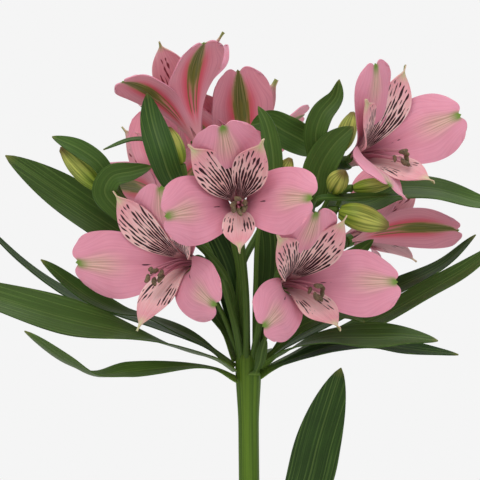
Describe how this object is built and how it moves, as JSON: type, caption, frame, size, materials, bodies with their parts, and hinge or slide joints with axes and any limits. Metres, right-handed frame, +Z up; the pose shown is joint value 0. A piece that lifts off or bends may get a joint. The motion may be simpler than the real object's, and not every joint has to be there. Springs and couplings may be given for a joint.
{
  "type": "potted peruvian lily",
  "caption": "Upright flowering stem with a whorl of long leaves under a head of funnel-shaped pink flowers and green buds, rooted in soil in a tapered clay pot.",
  "frame": {"origin": "centre of the pot's underside, at the height of the surface that the pot stands on", "axes": "+Z up along the stem, the viewer's side of the picture at -Y, the picture's right at +X"},
  "size_m": [0.2295, 0.1464, 0.4324],
  "materials": {
    "clay": "unglazed fired clay, matt, faintly dusty",
    "soil": "dark crumbly potting soil",
    "stem": "fresh yellow-green stem with fine lengthwise lines, semi-matt",
    "leaf": "dark green leaf with parallel veins and a soft sheen",
    "bract": "fresh green small leaf with parallel veins",
    "petal": "soft pink petal, veined, with dark dashes on the inner ones",
    "bud": "lime-green bud with darker stripes"
  },
  "bodies": {
    "root": {"pot": "clay", "soil": "soil", "stem": "stem", "leaf_upper_left": "leaf", "leaf_twisted_left": "leaf", "leaf_back_left": "leaf", "leaf_broad_left": "leaf", "leaf_low_left": "leaf", "leaf_upright_left": "leaf", "leaf_upright_right": "leaf", "leaf_right_broad": "leaf", "leaf_right_low": "leaf", "leaf_right_rising": "leaf", "leaf_back_right": "leaf", "leaf_right_inner": "leaf", "leaf_rear": "leaf", "leaf_small_front": "leaf", "leaf_stem_1": "leaf", "leaf_stem_2": "leaf", "leaf_stem_3": "leaf", "leaf_stem_4": "leaf", "leaf_stem_5": "leaf", "leaf_stem_6": "leaf", "bract_upright_left": "bract", "bract_over_bud": "bract", "bract_curled": "bract", "bract_thin": "bract", "bract_pale": "bract", "bract_dark": "bract", "bract_twisted": "bract", "bract_right": "bract", "bract_long_right": "bract", "bract_small_right": "bract", "bloom_front": "petal", "bloom_left": "petal", "bloom_right": "petal", "bloom_upper_right": "petal", "bloom_top": "petal", "bloom_back": "petal", "bloom_back_left": "petal", "bloom_back_right": "petal", "bud_right": "bud", "bud_round": "bud", "bud_side": "bud", "bud_behind": "bud", "bud_left": "bud", "bud_upper_left": "bud", "bud_centre": "bud", "bract_narrow_right": "bract"}
  },
  "joints": []
}
